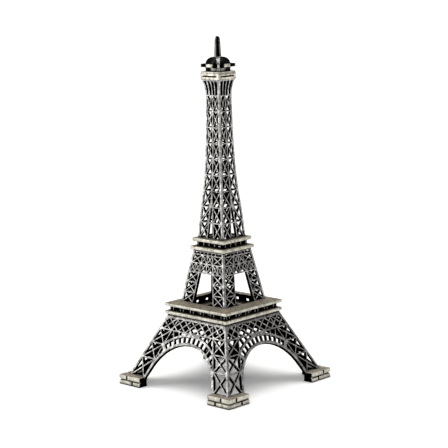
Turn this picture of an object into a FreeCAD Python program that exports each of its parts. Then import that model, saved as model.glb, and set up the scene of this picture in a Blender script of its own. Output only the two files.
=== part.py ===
import FreeCAD
import Part
import math
import os

# Souvenir lattice tower, 150 mm tall, die cast in zinc alloy as separate pieces.
# Four feet carry four leaning side castings, two galleried floors and a tapering shaft of four
# more side castings, closed by a gallery floor, a lantern, a balcony plate and a mast.
#
# Frame: millimetres, +Z up, origin in the middle of the four feet on the surface they stand on.
# The front looks along -Y. Every side casting is modelled at the front, in outlines of (x, z)
# points, and turned about Z to the right, back and left.

V = FreeCAD.Vector
Z_AXIS = V(0, 0, 1)

# Heights, from the surface up
TOP = 150.0
FOOT_TOP = 4.2
FIRST_FLOOR = (30.7, 32.2, 34.3, 35.6)       # lower slab, gallery, upper slab, slab edge's top
FIRST_FLOOR_CROWN = 36.3
SECOND_FLOOR = (58.9, 60.4, 62.5, 64.0)      # lower slab, gallery, upper slab, its top
SHAFT_TOP = 125.1
FLARE_TOP = 132.0
GALLERY_TOP = 134.6

BAR = 0.55                                   # face width of a lattice bar
CHORD = 0.6                                  # face width of a horizontal chord
CORNER_BAR = 1.0
FIT = 0.02                                   # gap where two castings meet
REACH = 45.0                                 # longer than any half width

# Outer faces of the side castings, as (height, half width)
LOWER_FACE = [(FOOT_TOP, 29.5), (FIRST_FLOOR[0], 17.0)]
MID_FACE = [(FIRST_FLOOR_CROWN, 13.0), (SECOND_FLOOR[0], 8.8)]
SHAFT_FACE = [(SECOND_FLOOR[3], 7.3), (75.6, 6.4), (82.8, 5.55), (92.5, 4.8), (102.6, 4.35),
              (109.0, 4.15), (SHAFT_TOP, 3.95), (127.0, 4.02), (129.0, 4.3), (130.8, 4.75),
              (FLARE_TOP, 5.28)]
LOWER_WALL, MID_WALL, SHAFT_WALL = 1.35, 1.25, 1.0      # measured level, not across the slope

# Upright tongues that join the castings to the slabs, as (distance from the middle, thickness)
LOWER_TENON, MID_TENON, SHAFT_TENON = (13.0, 1.2), (5.5, 1.0), (4.5, 0.9)
TENON_HALF = 1.0

SIDES = ["front", "right", "back", "left"]
CORNERS = ["front_right", "back_right", "back_left", "front_left"]


def half_width(face, z):
    """Half width of a face at height z, straight on past its first and last points."""
    for (z0, w0), (z1, w1) in zip(face, face[1:]):
        if z <= z1:
            break
    return w0 + (w1 - w0) * (z - z0) / (z1 - z0)


def line(low, high):
    """Function of height for a straight edge through two (z, x) points."""
    (z0, x0), (z1, x1) = low, high
    return lambda z: x0 + (x1 - x0) * (z - z0) / (z1 - z0)


def prism(points):
    """Solid with an outline of (x, z) points, running from the axis out through the front."""
    wire = Part.makePolygon([V(x, 0, z) for x, z in points + points[:1]])
    return Part.Face(wire).extrude(V(0, -REACH, 0))


def box(x0, x1, y0, y1, z0, z1):
    """Axis-aligned box between two corners."""
    return Part.makeBox(x1 - x0, y1 - y0, z1 - z0, V(x0, y0, z0))


def strut(start, end, width=BAR, overrun=2.0):
    """Straight bar between two (x, z) points, run on past both so that it meets its frame."""
    (x0, z0), (x1, z1) = start, end
    length = math.hypot(x1 - x0, z1 - z0)
    ux, uz = (x1 - x0) / length, (z1 - z0) / length
    nx, nz = -uz * width / 2, ux * width / 2
    x0, z0, x1, z1 = x0 - ux * overrun, z0 - uz * overrun, x1 + ux * overrun, z1 + uz * overrun
    return prism([(x0 + nx, z0 + nz), (x1 + nx, z1 + nz), (x1 - nx, z1 - nz), (x0 - nx, z0 - nz)])


def bay(inner, outer, z0, z1, width=BAR):
    """Opening between two slanting edges, crossed by one pair of diagonal bars."""
    low_in, low_out = (inner(z0), z0), (outer(z0), z0)
    high_in, high_out = (inner(z1), z1), (outer(z1), z1)
    hole = prism([low_in, low_out, high_out, high_in])
    return hole.cut([strut(low_in, high_out, width), strut(low_out, high_in, width)])


def both_sides(holes):
    """The holes of a casting's right half, and their mirror images."""
    return holes + [hole.mirror(V(), V(1, 0, 0)) for hole in holes]


def tenons(half, z0, z1, size, play=0.0):
    """Two upright tongues behind a casting's outer face, or their slots if there is play."""
    offset, thick = size
    across = TENON_HALF + play
    return [box(x - across, x + across, -half - play, -half + thick + play, z0, z1)
            for x in (-offset, offset)]


def side_casting(face, wall, z0, z1, holes, tongues=()):
    """Front casting of one stage: a leaning wall with mitred edges, pierced by its openings."""
    heights = [z0] + [z for z, _ in face if z0 < z < z1] + [z1]
    outer = [(-half_width(face, z), z) for z in heights]
    inner = [(y + wall, z) for y, z in reversed(outer)]
    outline = Part.makePolygon([V(-REACH, y, z) for y, z in outer + inner + outer[:1]])
    wall_solid = Part.Face(outline).extrude(V(2 * REACH, 0, 0))
    mitre = Part.makePolygon([V(0, -FIT, z0), V(REACH, -REACH - FIT, z0),
                              V(-REACH, -REACH - FIT, z0), V(0, -FIT, z0)])
    wedge = Part.Face(mitre).extrude(V(0, 0, z1 - z0))
    casting = wall_solid.common(wedge).cut(holes)
    return casting.fuse(tongues).removeSplitter() if tongues else casting


def quarter_turns(shapes):
    """Four copies of every shape, a quarter turn apart."""
    turned = []
    for shape in shapes:
        for quarter in range(4):
            copy = shape.copy()
            copy.rotate(V(), Z_AXIS, 90 * quarter)
            turned.append(copy)
    return turned


def around(name, casting, places):
    """Saves four copies of a casting, a quarter turn apart, one for each place."""
    for place, turned in zip(places, quarter_turns([casting])):
        save(f"{name}_{place}", turned)


def save(name, shape):
    """Write one node, checked to be sound."""
    solids = shape.Solids
    if not (shape.isValid() and solids):
        raise ValueError(f"{name} isn't a sound solid")
    print(f"{name}: {len(solids)} solid(s), {shape.Volume:.1f} mm3, {len(shape.Faces)} faces")
    shape = solids[0] if len(solids) == 1 else Part.makeCompound(solids)
    shape.exportStep(f"parts/{name}.step")


# --- feet -------------------------------------------------------------------------------------

FOOT_HALF = 32.75
FOOT_ARM = 12.6
FOOT_INNER_TOP = 28.1
FOOT_INNER_BASE = 29.6
FOOT_EASE = 0.35                             # chamfer along the outer edges
COURSE = FOOT_TOP / 2
BED_HALF, BED_GROOVE = 0.5, 0.75             # V-shaped bed joint: half height and depth
JOINT_WIDTH, JOINT_DEPTH = 0.9, 0.8
JOINTS = ((4.7, COURSE + 0.2), (8.0, 0.0))   # upright joints: distance from the corner, foot of it


def foot():
    """L-shaped foot block of the front-right corner: two masonry courses with joints cut in."""
    section = [(FOOT_INNER_BASE, 0), (FOOT_HALF - FOOT_EASE, 0), (FOOT_HALF, FOOT_EASE),
               (FOOT_HALF, COURSE - BED_HALF), (FOOT_HALF - BED_GROOVE, COURSE),
               (FOOT_HALF, COURSE + BED_HALF), (FOOT_HALF, FOOT_TOP - FOOT_EASE),
               (FOOT_HALF - FOOT_EASE, FOOT_TOP), (FOOT_INNER_TOP, FOOT_TOP)]
    outline = Part.makePolygon([V(0, -w, z) for w, z in section + section[:1]])
    along = Part.Face(outline).extrude(V(REACH, 0, 0))
    mitre = Part.makePolygon([V(0, 0, 0), V(REACH, -REACH, 0), V(0, -REACH, 0), V(0, 0, 0)])
    arm = along.common(Part.Face(mitre).extrude(V(0, 0, TOP)))
    arm = arm.common(box(FOOT_HALF - FOOT_ARM, REACH, -REACH, 0, 0, TOP))
    for offset, z0 in JOINTS:
        joint = FOOT_HALF - offset
        arm = arm.cut(box(joint - JOINT_WIDTH / 2, joint + JOINT_WIDTH / 2,
                          -REACH, -FOOT_HALF + JOINT_DEPTH, z0, z0 + COURSE - 0.2))
    other = arm.mirror(V(), V(1, 1, 0))
    return arm.fuse(other).removeSplitter()


# --- lower stage ------------------------------------------------------------------------------

LEG_SINK = 0.8                               # the legs stand this deep in pockets in the feet
ARCH_CENTRE = 0.15
ARCH_RADIUS = 19.75
RING_INNER, RING_OUTER, EXTRADOS = 20.85, 23.0, 23.7
RING_PITCH, RING_OPEN = 7.0, 5.6             # degrees from one ring opening to the next, and open
RING_COUNT = 5                               # openings on each side of the middle one
LEG_SLOTS = ((41.0, 47.5), (48.5, 53.5))     # slots beside the leg, in degrees from the crown
SPANDREL = ((11.5, 17.0), (18.2, 24.2))      # openings over the ring, between its struts
LAST_SPANDREL = (25.6, 31.0, 37.5)           # the five-sided one next to the leg
MID_CHORD = 24.5
TOP_CHORD = 29.4
SOFFIT = MID_CHORD - CHORD / 2
DIAGONAL_PITCH, DIAGONALS = 4.4, 5           # and how many start on each side of the middle
LEG_CHORDS = (12.1, 18.5)
leg_line = line((FOOT_TOP, 20.7), (TOP_CHORD, 10.13))


def lower_edge(z):
    """Inner edge of the corner bar."""
    return half_width(LOWER_FACE, z) - CORNER_BAR


def leg_outer(z):
    """Edge of the leg's inner bar that looks at the corner."""
    return leg_line(z) + BAR / 2


def leg_inner(z):
    """Edge of the leg's inner bar that looks at the arch."""
    return leg_line(z) - BAR / 2


def ring(angle, radius):
    """Point of the arch ring, with the angle in degrees from its crown."""
    turn = math.radians(angle)
    return radius * math.sin(turn), ARCH_CENTRE + radius * math.cos(turn)


def on_leg(angle):
    """Point where a radius of the arch meets the leg's inner bar."""
    turn = math.radians(angle)
    lean = leg_inner(1.0) - leg_inner(0.0)
    radius = leg_inner(ARCH_CENTRE) / (math.sin(turn) - lean * math.cos(turn))
    return ring(angle, radius)


def on_soffit(angle):
    """Point where a radius of the arch meets the underside of the band."""
    return (SOFFIT - ARCH_CENTRE) * math.tan(math.radians(angle)), SOFFIT


def arch_opening():
    """Space under the arch: a round crown that runs on straight, parallel to the legs."""
    lean = math.degrees(math.atan(leg_line(0.0) - leg_line(1.0)))
    x, z = ring(90 - lean, ARCH_RADIUS)
    foot_x = x + (z + 1) * math.tan(math.radians(lean))
    crown = Part.Arc(V(x, 0, z), V(0, 0, ARCH_CENTRE + ARCH_RADIUS), V(-x, 0, z)).toShape()
    legs = Part.makePolygon([V(-x, 0, z), V(-foot_x, 0, -1), V(foot_x, 0, -1), V(x, 0, z)])
    return Part.Face(Part.Wire([crown] + legs.Edges)).extrude(V(0, -REACH, 0))


def band_holes():
    """Openings of the lattice band over the arch, three zones crossed by one set of diagonals."""
    low, high = MID_CHORD + CHORD / 2, TOP_CHORD - CHORD / 2
    zones = [prism([(-leg_inner(low), low), (leg_inner(low), low),
                    (leg_inner(high), high), (-leg_inner(high), high)])]
    zones += both_sides([prism([(leg_outer(low), low), (lower_edge(low), low),
                                (lower_edge(high), high), (leg_outer(high), high)])])
    run = 1.5 * DIAGONAL_PITCH
    starts = [DIAGONAL_PITCH * step for step in range(-DIAGONALS, DIAGONALS + 1)]
    diagonals = [strut((x, MID_CHORD), (x + way * run, TOP_CHORD)) for x in starts for way in (-1, 1)]
    return [zone.cut(diagonals) for zone in zones]


def lower_holes():
    """Every opening of a lower side casting."""
    holes = [arch_opening()] + band_holes()
    for step in range(-RING_COUNT, RING_COUNT + 1):
        low, high = RING_PITCH * step - RING_OPEN / 2, RING_PITCH * step + RING_OPEN / 2
        holes.append(prism([ring(low, RING_INNER), ring(high, RING_INNER),
                            ring(high, RING_OUTER), ring(low, RING_OUTER)]))
    half = []
    for low, high in LEG_SLOTS:
        middle = (low + high) / 2
        half.append(prism([ring(low, RING_INNER), ring(middle, RING_INNER), ring(high, RING_INNER),
                           on_leg(high), on_leg(low)]))
    for low, high in SPANDREL:
        half.append(prism([ring(low, EXTRADOS), ring(high, EXTRADOS), on_soffit(high),
                           on_soffit(low)]))
    low, middle, high = LAST_SPANDREL
    half.append(prism([ring(low, EXTRADOS), ring(middle, EXTRADOS), on_leg(high),
                       (leg_inner(SOFFIT), SOFFIT), on_soffit(low)]))
    levels = (FOOT_TOP + 0.2,) + LEG_CHORDS + (MID_CHORD,)
    for low, high in zip(levels, levels[1:]):
        low = low if low < LEG_CHORDS[0] else low + CHORD / 2
        half.append(bay(leg_outer, lower_edge, low, high - CHORD / 2))
    return holes + both_sides(half)


# --- middle stage -----------------------------------------------------------------------------

MID_CHORDS = (40.65, 45.05, 49.4, 53.3, 57.0)
FRIEZE_BAR = 0.5
SHORT_ROW = ((0.3, 2.0), (2.5, 4.2), (4.7, 6.6))       # openings just under the slab
mid_line = line((FIRST_FLOOR_CROWN, 6.1), (MID_CHORDS[-1], 2.9))


def mid_edge(z):
    """Inner edge of the corner bar."""
    return half_width(MID_FACE, z) - CORNER_BAR


def mid_outer(z):
    """Edge of the leg's inner bar that looks at the corner."""
    return mid_line(z) + BAR / 2


def mid_inner(z):
    """Edge of the leg's inner bar that looks at the gateway."""
    return mid_line(z) - BAR / 2


def mid_middle(z):
    """Middle of the leg, between its two bars."""
    return (mid_outer(z) + mid_edge(z)) / 2


def mid_holes():
    """Every opening of a middle side casting."""
    first, second, springing, frieze, strip = MID_CHORDS
    head = springing - CHORD / 2
    holes = [prism([(-mid_inner(0), 0), (mid_inner(0), 0), (mid_inner(head), head),
                    (-mid_inner(head), head)])]
    half = []
    levels = (FIRST_FLOOR_CROWN, first, second, springing)
    for low, high in zip(levels, levels[1:]):
        half.append(bay(mid_outer, mid_edge, low + CHORD / 2, high - CHORD / 2))
    half.append(bay(mid_outer, mid_edge, frieze + CHORD / 2, strip - CHORD / 2))
    half.append(bay(lambda z: BAR / 2, mid_inner, frieze + CHORD / 2, strip - CHORD / 2))
    for inner, outer in ((mid_outer, lambda z: mid_middle(z) - BAR / 2),
                         (lambda z: mid_middle(z) + BAR / 2, mid_edge),
                         (lambda z: BAR / 2, mid_inner)):
        half.append(bay(inner, outer, springing + CHORD / 2, frieze - CHORD / 2, FRIEZE_BAR))
    low, high = strip + CHORD / 2, SECOND_FLOOR[0] - CHORD
    for x0, x1 in SHORT_ROW:
        half.append(prism([(x0, low), (x1, low), (x1, high), (x0, high)]))
    return holes + both_sides(half)


# --- shaft ------------------------------------------------------------------------------------

SHAFT_BAYS = 9
BAY_HEIGHT = (SHAFT_TOP - SECOND_FLOOR[3]) / SHAFT_BAYS
OPEN_BAYS = 2                                # from below, with an open slot between the inner bars
SHAFT_BAR, SHAFT_CHORD, SHAFT_CORNER = 0.45, 0.5, 0.9
SPLAY_TOP = 84.4                             # the two inner bars part below this height
SPLAY_BASE = 1.9
HALF_INNER_BAR = 0.3
FLARE_RIBS = ((0.04, 0.38), (0.52, 0.86))    # openings, as shares of the flare's half width
FLARE_BEND = 129.0
GALLERY_HALF, GALLERY_WALL = 5.35, 1.2
GALLERY_SLOT = (4.0, 133.0, 133.6)           # half length, low edge, high edge
SHAFT_SINK = 0.8                             # depth of the tenons in the slab


def shaft_split(z):
    """Distance of the shaft's inner bars from the middle of the face."""
    return max(0.0, SPLAY_BASE * (SPLAY_TOP - z) / (SPLAY_TOP - SECOND_FLOOR[3]))


def shaft_inner(z):
    """Edge of an inner bar that looks at the corner."""
    return shaft_split(z) + HALF_INNER_BAR


def shaft_edge(z):
    """Inner edge of the corner bar."""
    return half_width(SHAFT_FACE, z) - SHAFT_CORNER


def shaft_holes():
    """Nine cross-braced bays, the open slots low down, and the ribbed flare."""
    holes, half = [], []
    for step in range(SHAFT_BAYS):
        low = SECOND_FLOOR[3] + step * BAY_HEIGHT + SHAFT_CHORD / 2
        high = low + BAY_HEIGHT - SHAFT_CHORD
        half.append(bay(shaft_inner, shaft_edge, low, high, SHAFT_BAR))
        if step < OPEN_BAYS:
            below, above = shaft_split(low) - HALF_INNER_BAR, shaft_split(high) - HALF_INNER_BAR
            holes.append(prism([(-below, low), (below, low), (above, high), (-above, high)]))
    low, high = SHAFT_TOP + SHAFT_CHORD, FLARE_TOP - SHAFT_CHORD
    for inner, outer in FLARE_RIBS:
        half.append(prism([(part * shaft_edge(z), z) for part, z in
                           ((inner, low), (outer, low), (outer, FLARE_BEND), (outer, high),
                            (inner, high), (inner, FLARE_BEND))]))
    return holes + both_sides(half)


def shaft_casting():
    """Shaft side with its share of the square gallery wall on top."""
    base = SECOND_FLOOR[3]
    tongues = tenons(SHAFT_FACE[0][1], base - SHAFT_SINK, base + 0.3, SHAFT_TENON)
    shaft = side_casting(SHAFT_FACE, SHAFT_WALL, base, FLARE_TOP, shaft_holes(), tongues)
    wall_face = [(FLARE_TOP, GALLERY_HALF), (GALLERY_TOP, GALLERY_HALF)]
    half, low, high = GALLERY_SLOT
    slot = prism([(-half, low), (half, low), (half, high), (-half, high)])
    wall = side_casting(wall_face, GALLERY_WALL, FLARE_TOP, GALLERY_TOP, [slot])
    return shaft.fuse(wall).removeSplitter()


# --- floors -----------------------------------------------------------------------------------

FIRST_SLABS = (18.1, 18.2)                   # half widths of the lower and the upper slab
FIRST_OPENING = 11.0                         # half width of the opening in the lower slab
FIRST_FIELD = (17.5, 13.6)                   # raised field: half widths at its foot and its top
FIRST_GALLERY = (16.15, 1.0)                 # half width and wall
FIRST_PAIRS = (-15.0, -9.0, -3.0, 3.0, 9.0, 15.0)      # middles of the pairs of pilasters
HALF_PAIR = 0.9
FIRST_WINDOWS = ((-12.0, -6.0, 0.0, 6.0, 12.0), (2.2, 1.3))    # middles, then width and height
FIRST_PIN = (14.4, 0.7)                      # distance from the middle and radius
SECOND_SLABS = (9.95, 9.2)
SECOND_OPENINGS = (4.0, 4.8)                 # half widths, in the lower and the upper slab
SECOND_GALLERY = (7.6, 0.9)
SECOND_PILASTERS = (-6.4, -3.2, 0.0, 3.2, 6.4)
SECOND_WINDOWS = ((-4.8, -1.6, 1.6, 4.8), (1.6, 1.0))
SECOND_PIN = (5.9, 0.5)
PILASTER_HALF, PILASTER_DEPTH = 0.24, 0.5
TENON_RISE = 0.7                             # height of the tenons in the lower slabs


def frustum(half_low, z_low, half_high, z_high):
    """Square solid whose half width changes evenly from one height to another."""
    rings = [Part.makePolygon([V(x * w, y * w, z) for x, y in
                               ((-1, -1), (1, -1), (1, 1), (-1, 1), (-1, -1))])
             for w, z in ((half_low, z_low), (half_high, z_high))]
    return Part.makeLoft(rings, True, True)


def slab(half, z0, z1, edge=0.5):
    """Square slab with all of its edges rounded."""
    block = box(-half, half, -half, half, z0, z1)
    return block.makeFillet(edge, block.Edges)


def well(face, z0, z1):
    """Square hole that the castings of a stage fit through."""
    return frustum(half_width(face, z0) + FIT, z0, half_width(face, z1) + FIT, z1)


def square(half, z0, z1):
    """Square block on the axis."""
    return box(-half, half, -half, half, z0, z1)


def pins(size, z0, z1, play=0.0):
    """Four upright round pins at the corners of a square, or their holes if there is play."""
    reach, radius = size
    return [Part.makeCylinder(radius + play, z1 - z0, V(x * reach, y * reach, z0))
            for x in (-1, 1) for y in (-1, 1)]


def gallery(size, z0, z1, pilasters, windows):
    """Square gallery ring with raised pilasters and round-ended windows."""
    half, wall = size
    places, (width, height) = windows
    ring_wall = square(half, z0, z1).cut(square(half - wall, z0, z1))
    behind, middle, run = -half + wall + 1, (z0 + z1) / 2, (width - height) / 2
    cutters = [box(x - run, x + run, -REACH, behind, middle - height / 2, middle + height / 2)
               for x in places]
    cutters += [Part.makeCylinder(height / 2, REACH, V(x + way * run, behind, middle), V(0, -1, 0))
                for x in places for way in (-1, 1)]
    ribs = [box(x - PILASTER_HALF, x + PILASTER_HALF, -half - PILASTER_DEPTH, -half + 0.2, z0, z1)
            for x in pilasters]
    return ring_wall.cut(quarter_turns(cutters)).fuse(quarter_turns(ribs)).removeSplitter()


# --- crown ------------------------------------------------------------------------------------

FLOOR_HALF, SPIGOT_HALF, SPIGOT_DEPTH = 5.3, 4.1, 2.2
LANTERN_BASE = GALLERY_TOP + 0.7
LANTERN_RADIUS = 3.3
DOME_BASE = 138.6
BALCONY = (137.1, 138.5)
BALCONY_HALF = 5.37
RIB_RADIUS, RIB_WIDTH = 5.3, 1.4
RIB_CROWN = 1.2                              # radius where the rib's arch ends, under the mast
RIB_SHOULDER = 138.4                         # height where its upright edge ends
RIB_BEND = 0.72                              # share of the arch's run and rise at its mid point
MAST_BASE = 141.4
MAST_BASE_HALF, MAST_TIP_HALF = 1.6, 1.25
FIN_WIDTH = 1.2
TIP_RADIUS = 1.75
PEG_RADIUS, PEG_LENGTH = 0.8, 1.9


def gallery_floor():
    """Floor of the top gallery, with a spigot that fits inside the square wall."""
    spigot = square(SPIGOT_HALF, GALLERY_TOP - SPIGOT_DEPTH, GALLERY_TOP + 0.2)
    return slab(FLOOR_HALF, GALLERY_TOP, LANTERN_BASE, 0.25).fuse(spigot).removeSplitter()


def lantern():
    """Dark domed core with four arched ribs on its diagonals."""
    core = Part.makeCylinder(LANTERN_RADIUS, DOME_BASE - LANTERN_BASE, V(0, 0, LANTERN_BASE))
    dome = Part.makeSphere(LANTERN_RADIUS, V(0, 0, DOME_BASE)).common(
        square(LANTERN_RADIUS + 1, DOME_BASE, MAST_BASE))
    bend = V(RIB_CROWN + (RIB_RADIUS - RIB_CROWN) * RIB_BEND, 0,
             RIB_SHOULDER + (MAST_BASE - RIB_SHOULDER) * RIB_BEND)
    start, end = V(RIB_RADIUS, 0, RIB_SHOULDER), V(RIB_CROWN, 0, MAST_BASE)
    rest = Part.makePolygon([end, V(RIB_CROWN, 0, LANTERN_BASE), V(RIB_RADIUS, 0, LANTERN_BASE), start])
    outline = Part.Wire([Part.Arc(start, bend, end).toShape()] + rest.Edges)
    rib = Part.Face(outline).extrude(V(0, RIB_WIDTH, 0)).translated(V(0, -RIB_WIDTH / 2, 0))
    rib.rotate(V(), Z_AXIS, 45)
    body = core.fuse([dome] + quarter_turns([rib])).removeSplitter()
    return body.cut(Part.makeCylinder(PEG_RADIUS + FIT, 3, V(0, 0, MAST_BASE - PEG_LENGTH - 0.1)))


def balcony_plate():
    """Square plate threaded over the lantern, notched to let the ribs through."""
    low, high = BALCONY
    plate = slab(BALCONY_HALF, low, high, 0.3)
    plate = plate.cut(Part.makeCylinder(LANTERN_RADIUS + FIT, 3, V(0, 0, low - 1)))
    half = RIB_WIDTH / 2 + FIT
    notch = box(LANTERN_RADIUS - 0.8, RIB_RADIUS + FIT, -half, half, low - 1, high + 1)
    notch.rotate(V(), Z_AXIS, 45)
    return plate.cut(quarter_turns([notch]))


def mast():
    """Mast of four fins with a round tip, and a peg that drops into the lantern."""
    side = Part.makePolygon([V(-MAST_BASE_HALF, 0, MAST_BASE), V(MAST_BASE_HALF, 0, MAST_BASE),
                             V(MAST_TIP_HALF, 0, TOP), V(-MAST_TIP_HALF, 0, TOP),
                             V(-MAST_BASE_HALF, 0, MAST_BASE)])
    fin = Part.Face(side).extrude(V(0, FIN_WIDTH, 0)).translated(V(0, -FIN_WIDTH / 2, 0))
    other = fin.copy()
    other.rotate(V(), Z_AXIS, 90)
    tip = Part.makeSphere(TIP_RADIUS, V(0, 0, TOP - TIP_RADIUS)).fuse(
        Part.makeCylinder(TIP_RADIUS, TOP - TIP_RADIUS - MAST_BASE, V(0, 0, MAST_BASE)))
    peg = Part.makeCylinder(PEG_RADIUS, PEG_LENGTH + 0.1, V(0, 0, MAST_BASE - PEG_LENGTH))
    return fin.fuse(other).common(tip).fuse(peg).removeSplitter()


# --- assembly ---------------------------------------------------------------------------------

def lower_stage():
    """Saves the four lower sides and the feet that hold them."""
    top, half = FIRST_FLOOR[0], LOWER_FACE[-1][1]
    base = FOOT_TOP - LEG_SINK
    tongues = tenons(half, top - 0.5, top + TENON_RISE, LOWER_TENON)
    around("lower_side", side_casting(LOWER_FACE, LOWER_WALL, base, top, lower_holes(), tongues),
           SIDES)
    pocket_face = [(z, w + FIT) for z, w in LOWER_FACE]
    pocket = side_casting(pocket_face, LOWER_WALL + 2 * FIT, base, FOOT_TOP + 1, [])
    around("foot", foot().cut(quarter_turns([pocket])), CORNERS)


def first_floor():
    """Saves the first floor: its two slabs, the gallery between them and the hidden pins."""
    bottom, wall, upper, edge = FIRST_FLOOR
    slots = tenons(LOWER_FACE[-1][1], bottom - 1, bottom + TENON_RISE + FIT, LOWER_TENON, FIT)
    pin_span = (bottom + 0.6, upper + 0.8)
    pin_holes = pins(FIRST_PIN, *pin_span, FIT)
    opening = square(FIRST_OPENING, bottom, wall)
    save("first_floor_lower_slab", slab(FIRST_SLABS[0], bottom, wall).cut(
        [opening] + quarter_turns(slots) + pin_holes))
    pilasters = [middle + way * HALF_PAIR for middle in FIRST_PAIRS for way in (-1, 1)]
    save("first_floor_gallery", gallery(FIRST_GALLERY, wall, upper, pilasters, FIRST_WINDOWS))
    field = frustum(FIRST_FIELD[0], edge - 0.1, FIRST_FIELD[1], FIRST_FLOOR_CROWN)
    plate = slab(FIRST_SLABS[1], upper, edge).fuse(field).removeSplitter()
    save("first_floor_upper_slab",
         plate.cut([well(MID_FACE, upper - 1, FIRST_FLOOR_CROWN + 1)] + pin_holes))
    save("first_floor_dowels", Part.makeCompound(pins(FIRST_PIN, *pin_span)))


def middle_stage():
    """Saves the four middle sides, which stand on the first floor's lower slab."""
    top, half = SECOND_FLOOR[0], MID_FACE[-1][1]
    tongues = tenons(half, top - 0.4, top + TENON_RISE, MID_TENON)
    around("mid_side", side_casting(MID_FACE, MID_WALL, FIRST_FLOOR[1], top, mid_holes(), tongues),
           SIDES)


def second_floor():
    """Saves the second floor: its two slabs, the gallery between them and the hidden pins."""
    bottom, wall, upper, top = SECOND_FLOOR
    slots = tenons(MID_FACE[-1][1], bottom - 1, bottom + TENON_RISE + FIT, MID_TENON, FIT)
    pin_span = (bottom + 0.5, upper + 0.6)
    pin_holes = pins(SECOND_PIN, *pin_span, FIT)
    opening = square(SECOND_OPENINGS[0], bottom, wall)
    save("second_floor_lower_slab", slab(SECOND_SLABS[0], bottom, wall).cut(
        [opening] + quarter_turns(slots) + pin_holes))
    save("second_floor_gallery",
         gallery(SECOND_GALLERY, wall, upper, SECOND_PILASTERS, SECOND_WINDOWS))
    slots = tenons(SHAFT_FACE[0][1], top - SHAFT_SINK - FIT, top + 1, SHAFT_TENON, FIT)
    opening = square(SECOND_OPENINGS[1], upper, top)
    save("second_floor_upper_slab", slab(SECOND_SLABS[1], upper, top).cut(
        [opening] + quarter_turns(slots) + pin_holes))
    save("second_floor_dowels", Part.makeCompound(pins(SECOND_PIN, *pin_span)))


def main():
    """Builds and saves every node, from the ground up."""
    os.makedirs("parts", exist_ok=True)
    lower_stage()
    first_floor()
    middle_stage()
    second_floor()
    around("shaft_side", shaft_casting(), SIDES)
    save("top_gallery_floor", gallery_floor())
    save("lantern", lantern())
    save("balcony_plate", balcony_plate())
    save("mast", mast())


main()
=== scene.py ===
import logging
import math
from dataclasses import dataclass, field
from enum import Enum
from typing import Callable

import bmesh
import bpy
from mathutils import Matrix, Vector


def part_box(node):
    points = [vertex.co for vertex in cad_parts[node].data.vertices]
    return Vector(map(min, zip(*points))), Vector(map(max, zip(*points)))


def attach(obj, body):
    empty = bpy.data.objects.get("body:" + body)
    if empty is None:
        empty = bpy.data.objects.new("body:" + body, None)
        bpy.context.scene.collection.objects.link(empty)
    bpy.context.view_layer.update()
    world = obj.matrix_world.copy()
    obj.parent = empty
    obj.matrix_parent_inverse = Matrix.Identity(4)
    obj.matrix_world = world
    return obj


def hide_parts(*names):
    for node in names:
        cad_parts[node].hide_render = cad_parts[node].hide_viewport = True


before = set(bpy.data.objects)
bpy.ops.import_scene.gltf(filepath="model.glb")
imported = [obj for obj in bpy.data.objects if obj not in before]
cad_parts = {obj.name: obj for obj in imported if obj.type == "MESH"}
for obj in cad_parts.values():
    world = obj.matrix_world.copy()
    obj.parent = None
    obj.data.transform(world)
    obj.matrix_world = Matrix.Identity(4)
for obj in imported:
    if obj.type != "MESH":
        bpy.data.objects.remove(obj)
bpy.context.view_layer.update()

log = logging.getLogger("lattice_tower")

MM = 0.001                 # one millimetre, in metres
FIT = 0.02                 # clearance between neighbouring castings, in mm
CUT = 1e-4                 # how near to a cut a point counts as on it, in mm
NEAR = 0.01                # how near to its place a corner is looked for, in mm
SQUARE = 0.9               # least share of a face's normal along the way that it squarely faces
AXIS = (0, 0, 0)           # foot of the tower's axis, about which pieces are sized and turned
BODY = "root"              # nothing on the tower moves, so there is one body
SIDES = ("front", "right", "back", "left")
CORNERS = ("front_right", "back_right", "back_left", "front_left")
Point = tuple[float, float]
Edge = Callable[[float], float]


# --- places, taken from the CAD -------------------------------------------------------------------

def node_box(node: str) -> tuple[Vector, Vector]:
    """Corners of a CAD node in millimetres.

    Args:
        node: The node's name.

    Returns:
        Its lowest and its highest corner.
    """
    low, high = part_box(node)
    return low / MM, high / MM


def straight(low: Point, high: Point) -> Edge:
    """Straight edge through two points.

    Args:
        low: Height and distance of one point.
        high: Height and distance of the other.

    Returns:
        A function from height to distance.
    """
    (z0, x0), (z1, x1) = low, high
    return lambda z: x0 + (x1 - x0) * (z - z0) / (z1 - z0)


def middle_line(z: float) -> float:
    """The tower's middle, as an edge."""
    return 0.0


def near(value: float, target: float, tolerance: float = NEAR) -> bool:
    """Whether a value is at its target."""
    return abs(value - target) < tolerance


@dataclass(frozen=True)
class Face:
    """Outer face of a stage: how far it stands from the tower's axis at each height, in mm."""

    points: tuple[Point, ...]

    def at(self, z: float) -> float:
        """Half width at a height, straight on past both ends.

        Args:
            z: The height.

        Returns:
            The face's distance from the axis.
        """
        for low, high in zip(self.points, self.points[1:]):
            if z <= high[0]:
                break
        return straight(low, high)(z)


# --- finishes -------------------------------------------------------------------------------------

class Slot(Enum):
    """The record's material slots that new pieces take their finish from."""

    LATTICE = "antiqued_lattice"
    FLOOR = "antiqued_floor"
    DARK = "dark_antique"


def linear(code: str) -> tuple[float, float, float, float]:
    """Turns an sRGB hex colour into linear light.

    Args:
        code: The colour, such as #C5C4B0.

    Returns:
        Red, green, blue and a full alpha.
    """
    values = [int(code[start:start + 2], 16) / 255 for start in (1, 3, 5)]
    return (*(v / 12.92 if v <= 0.04045 else ((v + 0.055) / 1.055) ** 2.4 for v in values), 1.0)


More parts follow.
